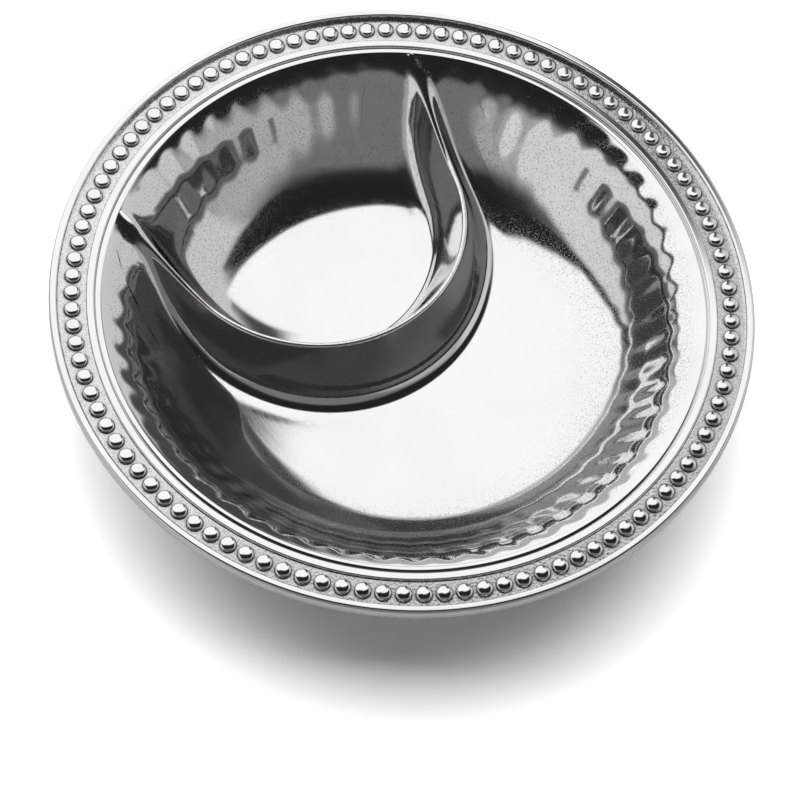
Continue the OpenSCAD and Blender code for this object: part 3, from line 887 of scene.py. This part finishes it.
TWICE = [
    ("front seen twice", [(-8, -16), (16, -16), (18, -52), (-10, -52)], 0.03, 5),
    ("right of the flag seen twice", [(25, 34), (42, 38), (44, 8), (44, -26), (28, -26), (24, 6)], 0.18, 6),
    ("back right seen twice", [(14, 43), (36, 41), (44, 43), (54, 45), (58, 52), (46, 62), (30, 64),
                               (14, 64)], 0.3, 3),
    ("right side seen twice", [(49, 42), (48, 30), (50, 8), (54, -4), (120, -4), (120, 40)], 0.05, 3),
]
print(len(PANELS), "panels, and", len(TWICE), "for what is mirrored twice")

# %% [markdown]
# ## The chart's levels
# The chart is a grid over the sky, from straight up to just below the horizon. For each of its points the
# distance to a panel's outline says how far the panel covers it, with a soft edge. Light that is mirrored
# twice keeps about a fifth of its strength, unless it comes from the white soft box, and gets a faint veil.

# %% Levels on the chart
SKY_ROWS, SKY_COLUMNS, LOWEST = 125, 240, 93
BARE_SKY, SECOND_BOUNCE, VEIL, BRIGHT = 0.1, 0.22, 0.025, 0.75


def inside_by(points, corners):
    """Distance of chart points inside an outline, less than zero outside it."""
    corners = np.asarray(corners, float)
    nearest = np.full(len(points), np.inf)
    within = np.zeros(len(points), bool)
    for a, b in zip(corners, np.roll(corners, -1, 0)):
        t = np.clip(((points - a) @ (b - a)) / ((b - a) @ (b - a)), 0, 1)
        nearest = np.minimum(nearest, np.linalg.norm(points - a - t[:, None] * (b - a), axis=1))
        crosses = (a[1] > points[:, 1]) != (b[1] > points[:, 1])
        with np.errstate(divide="ignore", invalid="ignore"):
            edge_x = a[0] + (points[:, 1] - a[1]) * (b[0] - a[0]) / (b[1] - a[1])
        within ^= crosses & (points[:, 0] < edge_x)
    return np.where(within, nearest, -nearest)


def hung(levels, panels):
    """Chart levels with panels hung over them in order, each with a soft edge."""
    for name, corners, level, soft in panels:
        cover = ease(inside_by(flat_chart, corners) / (2 * soft) + 0.5)
        levels = levels + (level - levels) * cover
    return levels


polar = np.linspace(0, LOWEST, SKY_ROWS)[:, None]
azimuth = np.radians(np.linspace(0, 360, SKY_COLUMNS + 1)[:-1])
flat_chart = np.stack([polar * np.sin(azimuth), polar * np.cos(azimuth)], -1).reshape(-1, 2)
glow = hung(np.full(len(flat_chart), BARE_SKY), PANELS)
kept = SECOND_BOUNCE + (1 - SECOND_BOUNCE) * ease((glow - BRIGHT) / (1 - BRIGHT))
again = hung(glow * kept + VEIL * (1 - glow), TWICE)
print("sky levels", glow.min().round(3), "to", glow.max().round(3), "and a mean of", glow.mean().round(3))

# %% [markdown]
# ## A tent that only mirrors see
# The chart becomes a dome of clear cloth round the platter, which filters the white room behind it.
# Only mirror rays meet it, so it throws no shadow and no light: under any other light, in any other
# scene, the platter's own metal stays what it is.

# %% Tent
TENT_R = 0.8
lean = np.radians(polar)[..., None]
sideways = np.sin(azimuth)[:, None] * right + np.cos(azimuth)[:, None] * away
tent = skin("tent", [(np.sin(lean) * sideways + np.cos(lean) * up) * TENT_R / MM])
# The first row of the chart is straight up, which is a single point of the mesh.
for name, levels in (("glow", glow), ("again", again)):
    mark(tent.data, name, levels[SKY_COLUMNS - 1:])
cloth = bpy.data.materials.new("tent cloth")
tree = emptied(cloth)
once = add(tree, "ShaderNodeAttribute", attribute_name="glow").outputs["Fac"]
twice = add(tree, "ShaderNodeAttribute", attribute_name="again").outputs["Fac"]
bounces = add(tree, "ShaderNodeLightPath").outputs["Glossy Depth"]
clear = add(tree, "ShaderNodeBsdfTransparent", {"Color": ranged(tree, bounces, 1.0, 2.0, once, twice)})
add(tree, "ShaderNodeOutputMaterial", {"Surface": clear.outputs[0]})
tent.data.materials.append(cloth)
tent.visible_camera = tent.visible_diffuse = tent.visible_shadow = False
tent.visible_transmission = tent.visible_volume_scatter = False

# %% [markdown]
# ## A white room
# The world is white where the camera or a mirror looks, and gives only a little soft light besides. That
# way the background is white without more light on the platter, and pale metal keeps its tones.

# %% World
SOFT_LIGHT, WHITE = 0.15, 1.0
PLAIN_WHITE = (1, 1, 1, 1)


def seen_by_eye(tree):
    """One where the camera, a mirror or glass looks, and zero for the light that spreads."""
    path = add(tree, "ShaderNodeLightPath").outputs
    both = calc(tree, "MAXIMUM", path["Is Camera Ray"], path["Is Glossy Ray"])
    return calc(tree, "MAXIMUM", both, path["Is Transmission Ray"])


world = bpy.data.worlds.new("white room")
tree = emptied(world)
soft_light = add(tree, "ShaderNodeBackground", {"Color": PLAIN_WHITE, "Strength": SOFT_LIGHT})
white = add(tree, "ShaderNodeBackground", {"Color": PLAIN_WHITE, "Strength": WHITE})
sky = add(tree, "ShaderNodeMixShader", {0: seen_by_eye(tree), 1: soft_light.outputs[0], 2: white.outputs[0]})
add(tree, "ShaderNodeOutputWorld", {"Surface": sky.outputs[0]})
bpy.context.scene.world = world
print("the room lights the platter at", SOFT_LIGHT, "and shows as", WHITE)

# %% [markdown]
# ## The table
# Near the platter the table is white paint, which takes the shadow. Further out it fades to plain white,
# so that no grey edge shows in a low view. The fade is measured from the middle of the table.

# %% Table
TABLE_PAINT, TABLE_GLOW, TABLE_HALF = (0.95, 0.95, 0.95, 1), 0.05, 4.0
WHITE_FROM, WHITE_BY = 0.3, 0.7
table = bpy.data.materials.new("white table")
tree = emptied(table)
paint = add(tree, "ShaderNodeBsdfDiffuse", {"Color": TABLE_PAINT})
shine = add(tree, "ShaderNodeEmission", {"Color": PLAIN_WHITE, "Strength": TABLE_GLOW})
lit = add(tree, "ShaderNodeAddShader", {0: paint.outputs[0], 1: shine.outputs[0]})
far_white = add(tree, "ShaderNodeEmission", {"Color": PLAIN_WHITE, "Strength": WHITE})
spot = add(tree, "ShaderNodeTexCoord").outputs["Object"]
faded = ranged(tree, vector(tree, "LENGTH", {0: spot}, "Value"), WHITE_FROM, WHITE_BY, 0.0, 1.0)
lit = add(tree, "ShaderNodeMixShader", {0: faded, 1: lit.outputs[0], 2: far_white.outputs[0]})
top = add(tree, "ShaderNodeMixShader", {0: seen_by_eye(tree), 1: paint.outputs[0], 2: lit.outputs[0]})
add(tree, "ShaderNodeOutputMaterial", {"Surface": top.outputs[0]})
corners = [(x * TABLE_HALF, y * TABLE_HALF, 0) for x, y in ((-1, -1), (1, -1), (1, 1), (-1, 1))]
mesh = bpy.data.meshes.new("table")
mesh.from_pydata(corners, [], [(0, 1, 2, 3)])
floor = bpy.data.objects.new("table", mesh)
bpy.context.scene.collection.objects.link(floor)
mesh.materials.append(table)
print("table is", 2 * TABLE_HALF, "m wide, and plain white from", WHITE_BY, "m out")

# %% [markdown]
# ## The lamp
# One large box lamp above and a little behind the platter throws the soft shadow towards the camera. Its
# size decides how soft that shadow is. It is hidden from mirrors, since the tent already holds the
# white panel that the metal shows.

# %% Lamp
LAMP_WIDE, LAMP_DEEP, LAMP_WATTS = 1.8, 1.1, 29.0
LAMP_AWAY, LAMP_RIGHT, LAMP_UP = 0.24, -0.13, 0.8
lamp = bpy.data.lights.new("back box", "AREA")
lamp.shape, lamp.size, lamp.size_y, lamp.energy = "RECTANGLE", LAMP_WIDE, LAMP_DEEP, LAMP_WATTS
box = bpy.data.objects.new("back box", lamp)
lamp_place = LAMP_AWAY * away + LAMP_RIGHT * right + LAMP_UP * up
shine_z = unit(lamp_place)
shine_x = unit(right - (right @ shine_z) * shine_z)
box.matrix_world = placed(shine_x, np.cross(shine_z, shine_x), shine_z, lamp_place)
box.visible_glossy = False
bpy.context.scene.collection.objects.link(box)
print("lamp at", np.round(lamp_place, 3), "m")

# %% [markdown]
# ## Finish
# The standard view shows a colour as it is written.

bpy.context.scene.view_settings.view_transform = "Standard"
